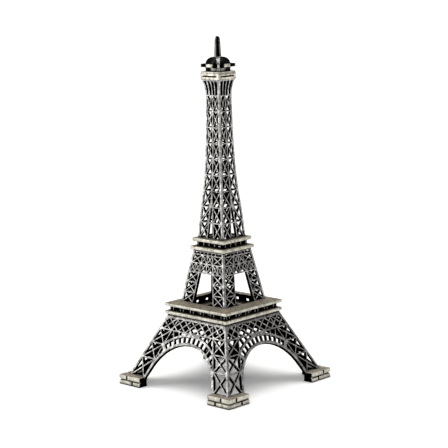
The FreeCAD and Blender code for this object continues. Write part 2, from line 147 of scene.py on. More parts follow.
def add_node(tree: bpy.types.NodeTree, kind: str, inputs: dict[str | int, object],
             **settings: object) -> bpy.types.Node:
    """Adds a node with its settings and links.

    Args:
        tree: The material's node tree.
        kind: The node's type.
        inputs: A value, or another node's output, for each input that isn't left as it is.
        settings: The node's own properties.

    Returns:
        The node.
    """
    node = tree.nodes.new(kind)
    for name, value in settings.items():
        setattr(node, name, value)
    for name, value in inputs.items():
        if isinstance(value, bpy.types.NodeSocket):
            tree.links.new(value, node.inputs[name])
        else:
            node.inputs[name].default_value = value
    return node


@dataclass(frozen=True)
class AntiquedZinc:
    """Zinc alloy, die cast, blackened all over and then rubbed bright where a cloth reaches.

    To the eye that is soft silver on what stands proud and near black in what lies deep, with a blurred
    edge between them, a cloudy mottle where the cloth pressed unevenly, and the fine grain of the mould.
    Next to other parts, in corners and under overhangs the colour is also darkened by painted shade from
    ambient occlusion, along with the black that the cloth leaves there.
    Lengths are in millimetres. A field that is None leaves its effect out.
    """

    name: str
    dulled: str                          # silver that is still half covered
    raised: str                          # silver of most of the rubbed metal
    worn: str                            # silver where it is rubbed most
    recess: str = "#040303"              # the black that stays
    level_tint: str | None = None        # what multiplies the colour of faces that look up
    warm_wash: str = "#F4EFDC"           # what lies over the silver above warm_above_mm
    warm_above_mm: float | None = None   # height above which the warm wash lies over the silver
    proud_mm: float | None = None        # distance from the axis that the cloth still reaches
    centre_mm: float | None = None       # height of the middle of a dome that it is rubbed round
    drum_mm: float | None = None         # distance from that middle that the cloth still reaches
    middles_mm: float | None = None      # rubbed this near to the middle of each side
    ridge_mm: float | None = None        # rubbed this near to the diagonals of the plan
    blur_mm: float = 0.1                 # how softly such a limit fades
    metallic: float = 0.85
    smooth_roughness: float = 0.28
    rough_roughness: float = 0.55
    reach: float = 0.8                   # how squarely a face has to look outwards to be rubbed
    reach_blur: float = 0.08             # how softly that limit fades
    unevenness: float = 0.6              # how far the pattern of wear moves that limit
    mottle_mm: float = 1.6               # a patch that one stroke of the cloth leaves
    grain_mm: float = 0.32               # the mould's grain, drawn this coarse so that it shows
    grain_share: float = 0.45
    occlusion_shade_mm: float = 1.6              # how near a neighbour darkens the colour: painted shade, with the black the cloth leaves in corners
    occlusion_shade_limits: Point = (0.55, 0.9)         # ambient occlusion at which that painted shade is full black, and at which it is gone
    cast_depth_mm: float = 0.03
    cast_strength: float = 0.6
    lacquer: float = 0.0                 # shine of the black

    def make(self) -> bpy.types.Material:
        """Builds the material.

        Returns:
            The material.
        """
        material = bpy.data.materials.new(self.name)
        material.use_nodes = True
        tree = material.node_tree
        tree.nodes.clear()
        place = add_node(tree, "ShaderNodeTexCoord", {}).outputs["Object"]
        mottle, grain = (
            add_node(tree, "ShaderNodeTexNoise", {"Vector": place, "Scale": 1 / (size * MM), "Detail": detail,
                                                  "Roughness": roughness}).outputs["Fac"]
            for size, detail, roughness in ((self.mottle_mm, 3.0, 0.6), (self.grain_mm, 2.0, 0.7)))
        point = add_node(tree, "ShaderNodeSeparateXYZ", {0: place}).outputs
        # Where the black is rubbed off, taken back towards black by painted shade from ambient occlusion.
        rubbed = self.rubbed(tree, point, mottle, grain)
        tone = add_node(tree, "ShaderNodeMix", {"Factor": self.grain_share, 2: mottle, 3: grain},
                        data_type="FLOAT").outputs[0]
        bright = self.silver(tree, point, tone)
        colour = add_node(tree, "ShaderNodeMix", {"Factor": rubbed, 6: linear(self.recess), 7: bright},
                          data_type="RGBA").outputs[2]
        metal = add_node(tree, "ShaderNodeMath", {0: rubbed, 1: self.metallic}, operation="MULTIPLY")
        gloss = add_node(tree, "ShaderNodeMapRange", {"Value": tone, "From Min": 0.3, "From Max": 0.7,
                                                      "To Min": self.rough_roughness,
                                                      "To Max": self.smooth_roughness})
        bump = add_node(tree, "ShaderNodeBump", {"Strength": self.cast_strength, "Height": tone,
                                                 "Distance": self.cast_depth_mm * MM})
        shader = add_node(tree, "ShaderNodeBsdfPrincipled", {
            "Base Color": colour, "Metallic": metal.outputs["Value"],
            "Roughness": gloss.outputs["Result"], "Specular IOR Level": self.lacquer,
            "Normal": bump.outputs["Normal"]})
        add_node(tree, "ShaderNodeOutputMaterial", {"Surface": shader.outputs["BSDF"]})
        return material

    def silver(self, tree: bpy.types.NodeTree, point: bpy.types.bpy_prop_collection,
               tone: bpy.types.NodeSocket) -> bpy.types.NodeSocket:
        """Colours the metal that the cloth has laid bare.

        Args:
            tree: The material's node tree.
            point: The point's X, Y and Z.
            tone: The pattern that makes it lighter and darker.

        Returns:
            The colour.
        """
        ramp = add_node(tree, "ShaderNodeValToRGB", {"Fac": tone})
        shades = ramp.color_ramp.elements
        shades[0].position, shades[0].color = 0.36, linear(self.dulled)
        shades[1].position, shades[1].color = 0.66, linear(self.worn)
        shades.new(0.5).color = linear(self.raised)
        bright = ramp.outputs["Color"]
        if self.level_tint:
            look = add_node(tree, "ShaderNodeNewGeometry", {}).outputs["Normal"]
            up = add_node(tree, "ShaderNodeSeparateXYZ", {0: look}).outputs["Z"]
            level = self.share(tree, up, 0.6, 0.95)
            bright = self.tinted(tree, bright, level, self.level_tint, "MULTIPLY")
        if self.warm_above_mm:
            above = self.share(tree, point["Z"], self.warm_above_mm * MM, (self.warm_above_mm + 0.3) * MM)
            bright = self.tinted(tree, bright, above, self.warm_wash, "SOFT_LIGHT")
        return bright

    @staticmethod
    def share(tree: bpy.types.NodeTree, value: bpy.types.NodeSocket, none: float,
              full: float) -> bpy.types.NodeSocket:
        """Turns a value into a share, 0 at none and 1 at full."""
        return add_node(tree, "ShaderNodeMapRange", {"Value": value, "From Min": none,
                                                     "From Max": full}).outputs["Result"]

    @staticmethod
    def tinted(tree: bpy.types.NodeTree, colour: bpy.types.NodeSocket, share: bpy.types.NodeSocket,
               tint: str, blend: str) -> bpy.types.NodeSocket:
        """Blends a share of a tint into a colour."""
        return add_node(tree, "ShaderNodeMix", {"Factor": share, 6: colour, 7: linear(tint)},
                        data_type="RGBA", blend_type=blend).outputs[2]

    def rubbed(self, tree: bpy.types.NodeTree, point: bpy.types.bpy_prop_collection,
               mottle: bpy.types.NodeSocket, grain: bpy.types.NodeSocket) -> bpy.types.NodeSocket:
        """Works out where the metal shows silver: faces that look away from the tower's axis, where the
        cloth has reached, with painted shade from ambient occlusion near neighbours taking it back to black.

        Args:
            tree: The material's node tree.
            point: The point's X, Y and Z.
            mottle: The coarse pattern of wear.
            grain: The fine pattern of wear.

        Returns:
            1 where the black is rubbed off, 0 where it stays and where the painted shade is full.
        """
        def math_node(operation: str, *values: object) -> bpy.types.NodeSocket:
            """Adds one step of arithmetic."""
            return add_node(tree, "ShaderNodeMath", dict(enumerate(values)), operation=operation).outputs[0]

        normal = add_node(tree, "ShaderNodeNewGeometry", {}).outputs["Normal"]
        look = add_node(tree, "ShaderNodeSeparateXYZ", {0: normal}).outputs
        size = [math_node("ABSOLUTE", point[axis]) for axis in "XY"]
        distance = None
        if self.centre_mm:
            above = math_node("SUBTRACT", point["Z"], self.centre_mm * MM)
            arm = add_node(tree, "ShaderNodeCombineXYZ", {"X": point["X"], "Y": point["Y"],
                                                          "Z": above}).outputs[0]
            distance = add_node(tree, "ShaderNodeVectorMath", {0: arm}, operation="LENGTH").outputs["Value"]
            along = add_node(tree, "ShaderNodeVectorMath", {0: arm, 1: normal},
                             operation="DOT_PRODUCT").outputs["Value"]
            outward = math_node("DIVIDE", along, distance)
        else:
            away = [math_node("MULTIPLY", math_node("SIGN", point[axis]), look[axis]) for axis in "XY"]
            on_x = math_node("GREATER_THAN", *size)
            outward = add_node(tree, "ShaderNodeMix", {"Factor": on_x, 2: away[1], 3: away[0]},
                               data_type="FLOAT").outputs[0]
        if self.level_tint:
            outward = math_node("MAXIMUM", outward, look["Z"])
        wear = math_node("SUBTRACT", math_node("MULTIPLY", math_node("ADD", mottle, grain), 0.5), 0.5)
        reached = math_node("MULTIPLY_ADD", wear, self.unevenness, outward)
        rubbed = self.share(tree, reached, self.reach - self.reach_blur, self.reach + self.reach_blur)
        # Painted shade: ambient occlusion darkens the colour towards black next to other parts, in corners
        # and under overhangs such as the slabs, along with the black that the cloth leaves there.
        unoccluded_share = add_node(tree, "ShaderNodeAmbientOcclusion", {"Distance": self.occlusion_shade_mm * MM},
                            samples=8).outputs["AO"]
        rubbed = math_node("MULTIPLY", rubbed, self.share(tree, unoccluded_share, *self.occlusion_shade_limits))
        areas, blur = [], self.blur_mm
        if self.proud_mm:
            areas.append((math_node("MAXIMUM", *size), self.proud_mm - blur, self.proud_mm + blur))
        if self.middles_mm:
            areas.append((math_node("MINIMUM", *size), self.middles_mm + 5 * blur, self.middles_mm - blur))
        if self.drum_mm:
            areas.append((distance, self.drum_mm - blur, self.drum_mm + blur))
        if self.ridge_mm:
            aside = math_node("ABSOLUTE", math_node("SUBTRACT", *size))
            areas.append((aside, (self.ridge_mm + blur) * math.sqrt(2), self.ridge_mm * math.sqrt(2)))
        within = None
        for value, none, full in areas:
            area = self.share(tree, value, none * MM, full * MM)
            within = math_node("MAXIMUM", within, area) if within else area
        return math_node("MULTIPLY", rubbed, within) if within else rubbed


# --- the bench: pieces are modelled in millimetres by hand operators ------------------------------

class Element(Enum):
    """Kinds of mesh element that can be picked."""

    VERTEX = "VERT"
    EDGE = "EDGE"
    FACE = "FACE"


class Workpiece:
    """A mesh on the bench, in edit mode and in millimetres."""

    def __init__(self, name: str, low: Vector, high: Vector, flat: bool = False) -> None:
        """Adds the starting block or plane.

        Args:
            name: Name of the finished piece.
            low: Lowest corner in mm.
            high: Highest corner in mm.
            flat: Start from an upright plane through low.y that faces -Y, and not from a block.
        """
        self.clear_bench()
        if flat:
            bpy.ops.mesh.primitive_plane_add(size=1, enter_editmode=True)
            bpy.ops.transform.rotate(value=-math.pi / 2, orient_axis="X", center_override=AXIS)
        else:
            bpy.ops.mesh.primitive_cube_add(size=1, enter_editmode=True)
        self.object = bpy.context.object
        self.object.name = self.object.data.name = name
        size, middle = high - low, (high + low) / 2
        bpy.ops.transform.resize(value=[side or 1.0 for side in size], center_override=AXIS)
        bpy.ops.transform.translate(value=middle)
        if flat and self.mesh().faces[0].normal.y > 0:
            bpy.ops.mesh.flip_normals()

    @staticmethod
    def clear_bench() -> None:
        """Leaves edit mode and deselects everything."""
        if bpy.context.object and bpy.context.object.mode == "EDIT":
            bpy.ops.object.mode_set(mode="OBJECT")
        bpy.ops.object.select_all(action="DESELECT")

    @classmethod
    def around(cls, obj: bpy.types.Object) -> "Workpiece":
        """Puts an object that exists on the bench.

        Args:
            obj: The object.

        Returns:
            Its workpiece, in edit mode.
        """
        piece = cls.__new__(cls)
        piece.object = obj
        piece.take_up()
        return piece

    @classmethod
    def round_block(cls, name: str, radius: float, low: float, high: float,
                    sides: int = 48) -> "Workpiece":
        """Starts from an upright cylinder on the tower's axis.

        Args:
            name: Name of the finished piece.
            radius: Its radius.
            low: Its lowest height.
            high: Its highest.
            sides: How many flats its wall has.

        Returns:
            The cylinder.
        """
        cls.clear_bench()
        bpy.ops.mesh.primitive_cylinder_add(radius=radius, depth=high - low, vertices=sides,
                                            location=AXIS, enter_editmode=True)
        bpy.ops.transform.translate(value=(0, 0, (high + low) / 2))
        bpy.context.object.name = bpy.context.object.data.name = name
        return cls.around(bpy.context.object)

    def take_up(self) -> None:
        """Makes this piece the one on the bench."""
        self.clear_bench()
        self.object.select_set(True)
        bpy.context.view_layer.objects.active = self.object
        bpy.ops.object.mode_set(mode="EDIT")

    def mesh(self) -> bmesh.types.BMesh:
        """The mesh as it is in edit mode.

        Returns:
            The mesh, with its faces ready to be looked up.
        """
        mesh = bmesh.from_edit_mesh(self.object.data)
        mesh.faces.ensure_lookup_table()
        return mesh

    def show_picked(self) -> None:
        """Makes a selection that was set in code the one that operators act on."""
        self.mesh().select_flush_mode()
        bmesh.update_edit_mesh(self.object.data)

    def pick_all(self) -> None:
        """Selects everything."""
        bpy.ops.mesh.select_all(action="SELECT")

    def pick(self, kind: Element, test: Callable[..., bool]) -> int:
        """Selects the elements that pass a test.

        Args:
            kind: Whether vertices, edges or faces are picked.
            test: Takes a vertex's place, both ends of an edge, or a face's middle and normal.

        Returns:
            How many passed.
        """
        bpy.ops.mesh.select_mode(type=kind.value)
        bpy.ops.mesh.select_all(action="DESELECT")
        mesh = self.mesh()
        if kind is Element.VERTEX:
            chosen = [v for v in mesh.verts if test(v.co)]
        elif kind is Element.EDGE:
            chosen = [e for e in mesh.edges if test(e.verts[0].co, e.verts[1].co)]
        else:
            chosen = [f for f in mesh.faces if test(f.calc_center_median(), f.normal)]
        for element in chosen:
            element.select_set(True)
        self.show_picked()
        return len(chosen)

    def slice(self, start: Point, end: Point, where: Callable[[Vector], bool] | None = None,
              clear: bool = False) -> None:
        """Cuts the sheet along a line drawn on it from the front.

        Args:
            start: First (x, z) point of the line.
            end: Second point.
            where: Only faces whose middle passes this test are cut.
            clear: Also remove what lies to the right of the line, looking from start to end.
        """
        if where is None:
            self.pick_all()
        elif not self.pick(Element.FACE, lambda middle, normal: where(middle)):
            return
        (x0, z0), (x1, z1) = start, end
        across = Vector((z1 - z0, 0, x0 - x1)).normalized()
        bpy.ops.mesh.bisect(plane_co=(x0, 0, z0), plane_no=across, clear_outer=clear, threshold=CUT)

    def level_cut(self, z: float) -> None:
        """Cuts the whole piece level."""
        self.pick_all()
        bpy.ops.mesh.bisect(plane_co=(0, 0, z), plane_no=(0, 0, 1), threshold=CUT)

    def remove(self, test: Callable[[Vector, Vector], bool]) -> None:
        """Removes the faces that pass a test."""
        if self.pick(Element.FACE, test):
            bpy.ops.mesh.delete(type="FACE")

    def pierce(self, half_bar: float, is_open: Callable[[Vector], bool], least: float = 0.13) -> None:
        """Insets each open cell by half a bar and removes what is left of it.

        Args:
            half_bar: Half the width of the bars between cells, in mm.
            is_open: Tells from its middle whether a cell may be open.
            least: Smallest clear radius, in mm, that a hole may have. Tighter cells stay filled.
        """
        bpy.ops.mesh.select_mode(type="FACE")
        bpy.ops.mesh.select_all(action="DESELECT")
        for cell in self.mesh().faces:
            radius = 2 * cell.calc_area() / cell.calc_perimeter()
            cell.select_set(radius > half_bar + least and is_open(cell.calc_center_median()))
        bmesh.update_edit_mesh(self.object.data)
        bpy.ops.mesh.inset(thickness=half_bar, depth=0, use_individual=True, use_even_offset=True)
        bpy.ops.mesh.delete(type="FACE")

    def lean(self, face: Face) -> None:
        """Pushes every level of a flat sheet out to a stage's outer face.

        Args:
            face: The outer face.
        """
        for level in sorted({round(v.co.z, 3) for v in self.mesh().verts}):
            self.pick(Element.VERTEX, lambda co, z=level: near(co.z, z, 6e-4))
            bpy.ops.transform.translate(value=(0, -face.at(level), 0))

    def mitre(self, gap: float, closed: bool = True) -> None:
        """Trims both ends at 45 degrees, so that four sides meet at the tower's corners.

        Args:
            gap: How far the cuts stand back from the corners' planes, in mm.
            closed: Fill the cuts. They stay open on sides that are joined into one ring.
        """
        for way in (-1, 1):
            self.pick_all()
            bpy.ops.mesh.bisect(plane_co=(0, -gap, 0), plane_no=(way, 1, 0), clear_outer=True,
                                use_fill=closed, threshold=CUT)

    def modify(self, kind: str, **settings: object) -> None:
        """Adds a modifier and applies it at once.

        Args:
            kind: The modifier's type.
            settings: Its own properties.
        """
        bpy.ops.object.mode_set(mode="OBJECT")
        modifier = self.object.modifiers.new(kind.title(), kind)
        for name, value in settings.items():
            setattr(modifier, name, value)
        bpy.ops.object.modifier_apply(modifier=modifier.name)
        bpy.ops.object.mode_set(mode="EDIT")

    def round_edges(self, width: float, segments: int = 2, angle: float = 35) -> None:
        """Bevels every edge that turns by more than an angle in degrees."""
        self.modify("BEVEL", width=width, segments=segments, limit_method="ANGLE",
                    angle_limit=math.radians(angle), use_clamp_overlap=False)

    def thicken(self, wall: float, offset: float = -1) -> None:
        """Gives the sheet its wall, inwards from the face that shows unless offset says else."""
        self.modify("SOLIDIFY", thickness=wall, offset=offset, use_even_offset=True)

    def draft(self, amount: float) -> None:
        """Slims the bars towards the back, as a die needs to let go of the casting.

        Args:
            amount: How far the back stands off its first place, in mm. Both ends stay.
        """
        levels = [v.co.z for v in self.mesh().verts]
        low, high = min(levels) + NEAR, max(levels) - NEAR
        self.pick(Element.FACE, lambda m, n: n.y > 0.5)
        bpy.ops.mesh.select_mode(type="VERT")
        for vertex in self.mesh().verts:
            if not low < vertex.co.z < high:
                vertex.select_set(False)
        self.show_picked()
        bpy.ops.transform.shrink_fatten(value=amount)

    def merge(self, distance: float) -> None:
        """Merges points that lie nearer to each other than a distance."""
        self.pick_all()
        bpy.ops.mesh.remove_doubles(threshold=distance)

    def heal(self, distance: float = 1e-3) -> None:
        """Merges doubles and points all faces outwards."""
        self.merge(distance)
        bpy.ops.mesh.normals_make_consistent(inside=False)

    def extrude(self, *way: float) -> None:
        """Extrudes what is selected along X, Y and Z."""
        bpy.ops.mesh.extrude_region_move(TRANSFORM_OT_translate={"value": way})

    def scale_plan(self, share: float) -> None:
        """Scales what is selected about the tower's axis, at its height."""
        bpy.ops.transform.resize(value=(share, share, 1), center_override=AXIS)

    def rise(self, z: float, scale: float = 1.0) -> None:
        """Extrudes the selected level face to a height and scales it about the tower's axis.

        Args:
            z: Height to reach.
            scale: Size of the new outline, as a share of the old one.
        """
        level = next(v.co.z for v in self.mesh().verts if v.select)
        self.extrude(0, 0, z - level)
        self.scale_plan(scale)

    def carve(self, *cutters: "Workpiece") -> None:
        """Subtracts other workpieces.

        Args:
            cutters: The workpieces, which are used up.
        """
        for cutter in cutters:
            cutter.take_up()
            cutter.heal()
            self.take_up()
            self.modify("BOOLEAN", object=cutter.object, operation="DIFFERENCE", solver="EXACT")
            bpy.data.objects.remove(cutter.object)

    def turn(self, angle: float, axis: str = "Z") -> None:
        """Turns what is selected about +Z, or another axis, by the right-hand rule."""
        bpy.ops.transform.rotate(value=-angle, orient_axis=axis, center_override=AXIS)

    def turned(self, name: str, quarters: float) -> "Workpiece":
        """Copies the piece a number of quarter turns round the tower.

        Args:
            name: Name of the copy.
            quarters: Quarter turns about +Z.

        Returns:
            The copy, in edit mode, with its own mesh.
        """
        self.clear_bench()
        copy = self.object.copy()
        copy.data = self.object.data.copy()
        copy.name = copy.data.name = name
        bpy.context.scene.collection.objects.link(copy)
        piece = Workpiece.around(copy)
        piece.pick_all()
        piece.turn(quarters * math.pi / 2)
        return piece

    def absorb(self, *others: "Workpiece") -> None:
        """Joins other workpieces into this one.

        Args:
            others: The workpieces, which are used up.
        """
        self.clear_bench()
        for piece in (*others, self):
            piece.object.select_set(True)
        bpy.context.view_layer.objects.active = self.object
        bpy.ops.object.join()
        bpy.ops.object.mode_set(mode="EDIT")

    def hand_over(self, material: bpy.types.Material, slot: Slot, *nodes: str,
                  smooth: float = 40) -> bpy.types.Object:
        """Finishes the piece: metres, smooth shading, material, and its place in the frame.

        Args:
            material: The finish.
            slot: The record's material slot. It is not used.
            nodes: CAD nodes that the piece stands for.
            smooth: Edges that turn by less than this many degrees are shaded smooth.

        Returns:
            The finished object.
        """
        self.take_up()
        self.pick_all()
        bpy.ops.transform.resize(value=(MM, MM, MM), center_override=AXIS)
        bpy.ops.object.mode_set(mode="OBJECT")
        bpy.ops.object.shade_smooth_by_angle(angle=math.radians(smooth))
        self.object.data.materials.clear()
        self.object.data.materials.append(material)
        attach(self.object, BODY)
        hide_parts(*nodes)
        log.info("%s: %d faces", self.object.name, len(self.object.data.polygons))
        return self.object


def set_round(piece: Workpiece, stem: str, word: str, places: tuple[str, ...],
              material: bpy.types.Material, slot: Slot) -> None:
    """Sets a finished piece round the tower, one for each of four CAD nodes.

    Args:
        piece: The piece at its first place, which becomes the first of the four.
        stem: What the four nodes' names start with.
        word: Last word of the finished pieces' names.
        places: The four places, each a quarter turn on from the last.
        material: The finish.
        slot: The record's material slot.
    """
    copies = [piece.turned("", quarter) for quarter in range(1, len(places))]
    for place, copy in zip(places, [piece, *copies]):
        copy.object.name = copy.object.data.name = f"{stem}_{place}_{word}"
        copy.hand_over(material, slot, f"{stem}_{place}")


# --- side castings --------------------------------------------------------------------------------

@dataclass
class Side:
    """One of four equal sides of a stage: fretwork in a sheet, leant and given its wall."""

    bar: float = 0.48          # width of the bars between openings
    corner_bar: float = 1.0    # width of the bar along the tower's corner
    wall: float = 1.2          # thickness of the casting
    edge_round: float = 0.1
    draft: float = 0.28        # how much slimmer each flank of a bar is at the back
    spare: float = 1.0         # how much wider than the stage the sheet starts
    face: Face = field(init=False)

    def corner(self, z: float) -> float:
        """Line along which the corner bar's strip meets the lattice."""
        return self.face.at(z) - self.corner_bar + self.bar / 2

    def sheet(self, name: str, low: float, high: float) -> Workpiece:
        """Starts the upright sheet.

        Args:
            name: Name of the piece.
            low: Its lowest height.
            high: Its highest.

        Returns:
            The sheet, a little wider than the stage.
        """
        half = max(self.face.at(low), self.face.at(high)) + self.spare
        return Workpiece(name, Vector((-half, 0, low)), Vector((half, 0, high)), flat=True)

    def cross(self, sheet: Workpiece, inner: Edge, outer: Edge, low: float, high: float) -> None:
        """Cuts a cross in one bay and in its mirror image.

        Args:
            sheet: The sheet.
            inner: The bay's edge nearer the middle.
            outer: Its other edge.
            low: Height of its lower chord.
            high: Height of its upper chord.
        """
        for way in (-1, 1):
            def bay(m: Vector, side: int = way) -> bool:
                """Whether a face lies in the bay."""
                return low < m.z < high and inner(m.z) < m.x * side < outer(m.z)
            sheet.slice((way * inner(low), low), (way * outer(high), high), bay)
            sheet.slice((way * outer(low), low), (way * inner(high), high), bay)

    def stand_up(self, sheet: Workpiece) -> Workpiece:
        """Leans the pierced sheet, gives it its wall and mitres, and eases the edges.

        Args:
            sheet: The pierced sheet.

        Returns:
            The same piece, closed.
        """
        sheet.lean(self.face)
        sheet.thicken(self.wall)
        sheet.draft(self.draft)
        sheet.mitre(FIT)
        sheet.heal()
        sheet.round_edges(self.edge_round)
        return sheet


@dataclass
class LowerSides(Side):
    """The four leaning sides of the lower stage, with the arch, its ring and the lattice band."""

    base_half: float = 29.5
    top_half: float = 17.0
    arch_centre: float = 0.15  # height of the arch's centre
    arch_radius: float = 19.75
    ring_inner: float = 20.55  # the ring of small openings lies between these two radii
    ring_outer: float = 23.3
    extrados: float = 23.68    # radius from which the spandrels are open
    spoke_end: float = 30.0    # radius that the cuts between the openings aim at
    ring_spokes: tuple[float, ...] = (3.5, 10.5, 17.5, 24.5, 31.5, 37.7)  # degrees from the crown
    leg_slots: tuple[float, ...] = (40.4, 48.0, 54.0)                     # where the ring meets the leg
    arch_end: float = 67.25    # angle at which the arch goes over into a straight edge
    mid_chord: float = 24.5    # the lattice band lies between these two heights
    top_chord: float = 29.4
    diagonal_pitch: float = 4.4
    diagonal_run: float = 1.5  # how far a diagonal leans over the band, in pitches
    leg_chords: tuple[float, ...] = (12.1, 18.5)
    knot: float = 0.25         # crossings nearer to each other than this become one
    leg: Edge = field(default_factory=lambda: straight((4.2, 20.7), (29.4, 10.13)))

    def __post_init__(self) -> None:
        """Takes the heights that the CAD decides."""
        self.sink = node_box("lower_side_front")[0].z
        self.foot_top = node_box("foot_front_right")[1].z
        self.top = node_box("first_floor_lower_slab")[0].z
        self.face = Face(((self.foot_top, self.base_half), (self.top, self.top_half)))

    def ring(self, angle: float, radius: float) -> Point:
        """Point of the arch, with the angle in degrees from its crown."""
        turn = math.radians(angle)
        return radius * math.sin(turn), self.arch_centre + radius * math.cos(turn)

    def ledge(self, z: float) -> float:
        """Straight run of the arch's edge, parallel to the leg, down to the foot."""
        x, level = self.ring(self.arch_end, self.arch_radius)
        return self.leg(z) - self.leg(level) + x

    def spoke(self, place: Vector) -> float:
        """Angle of a place from the arch's crown, in degrees to the right."""
        return math.degrees(math.atan2(place.x, place.z - self.arch_centre))

    def in_leg(self, middle: Vector) -> bool:
        """Whether a face lies between the corner bar and the leg's inner bar."""
        return self.leg(middle.z) < abs(middle.x) < self.corner(middle.z)

    def under_band(self, middle: Vector) -> bool:
        """Whether a face lies between the legs, under the band."""
        return middle.z < self.mid_chord and abs(middle.x) < self.leg(middle.z)

    def build(self) -> Workpiece:
        """Models the front side.

        Returns:
            The finished casting.
        """
        sheet = self.sheet("lower_side", self.sink, self.top)
        for way in (-1, 1):
            for edge in (self.corner, self.leg):
                sheet.slice((way * edge(self.sink), self.sink), (way * edge(self.top), self.top))
        for level in (self.mid_chord, self.top_chord):
            sheet.slice((0, level), (1, level))
        levels = (self.foot_top - 0.1, *self.leg_chords, self.mid_chord)
        for level in levels[:-1]:
            sheet.slice((0, level), (1, level), self.in_leg)
        for low, high in zip(levels, levels[1:]):
            self.cross(sheet, self.leg, self.corner, low, high)
        self.brace_band(sheet)
        self.rib_arch(sheet)
        sheet.merge(self.knot)
        sheet.pierce(self.bar / 2, self.is_open)
        return self.stand_up(sheet)

    def brace_band(self, sheet: Workpiece) -> None:
        """Cuts the diagonals of the band over the arch, which run right across it.

        Args:
            sheet: The sheet.
        """
        def band(middle: Vector) -> bool:
            """Whether a face lies in the band."""
            return (self.mid_chord < middle.z < self.top_chord
                    and abs(middle.x) < self.corner(middle.z))

        run = self.diagonal_run * self.diagonal_pitch
        for step in range(-5, 6):
            start = step * self.diagonal_pitch
            for way in (-1, 1):
                sheet.slice((start, self.mid_chord), (start + way * run, self.top_chord), band)

    def rib_arch(self, sheet: Workpiece) -> None:
        """Cuts the arch, its ring of small openings and the spandrels' struts.

        Args:
            sheet: The sheet.
        """
        centre = (0.0, self.arch_centre)
        half = [*self.ring_spokes, *self.leg_slots, (self.leg_slots[-1] + self.arch_end) / 2,
                self.arch_end]
        spokes = [-angle for angle in reversed(half)] + half
        for angle in spokes:
            sheet.slice(centre, self.ring(angle, self.spoke_end), self.under_band)
        for low, high in zip(spokes, spokes[1:]):
            rings = (self.arch_radius, self.ring_inner, self.ring_outer, self.extrados)
            beside_leg = max(abs(low), abs(high)) > self.ring_spokes[-1]
            for radius in rings[:2] if beside_leg else rings:
                sheet.slice(self.ring(low, radius), self.ring(high, radius), lambda m, a=low, b=high:
                            self.under_band(m) and a < self.spoke(m) < b)
        sheet.pick(Element.EDGE, lambda a, b: all(
            near(abs(self.spoke(end)), self.ring_spokes[-2], 0.1)
            and math.hypot(end.x, end.z - self.arch_centre) > self.extrados - 0.1 for end in (a, b)))
        bpy.ops.mesh.dissolve_edges(use_verts=False)
        for way in (-1, 1):
            sheet.slice((way * self.ledge(self.sink), self.sink), (way * self.ledge(0), 0),
                        lambda m, w=way: self.under_band(m) and w * self.spoke(m) > self.arch_end)
        sheet.remove(self.in_void)

    def in_void(self, middle: Vector, normal: Vector) -> bool:
        """Whether a face lies in the space under the arch.

        Args:
            middle: The face's middle.
            normal: Its normal, which doesn't matter.

        Returns:
            True where nothing stays of the sheet.
        """
        if abs(self.spoke(middle)) > self.arch_end:
            return abs(middle.x) < self.ledge(middle.z)
        return (math.hypot(middle.x, middle.z - self.arch_centre) < self.arch_radius
                and self.under_band(middle))

    def is_open(self, middle: Vector) -> bool:
        """Whether a cell of the sheet is an opening in the casting.

        Args:
            middle: The cell's middle.

        Returns:
            False where the casting stays solid.
        """
        if not self.foot_top - 0.1 < middle.z < self.top_chord:
            return False
        if abs(middle.x) > self.corner(middle.z):
            return False
        if not self.under_band(middle):
            return True
        radius = math.hypot(middle.x, middle.z - self.arch_centre)
        angle = abs(self.spoke(middle))
        if self.ring_spokes[-1] < angle:
            return self.ring_inner < radius and self.leg_slots[0] < angle < self.leg_slots[-1]
        return self.ring_inner < radius < self.ring_outer or (radius > self.extrados
                                                              and angle > self.ring_spokes[1])


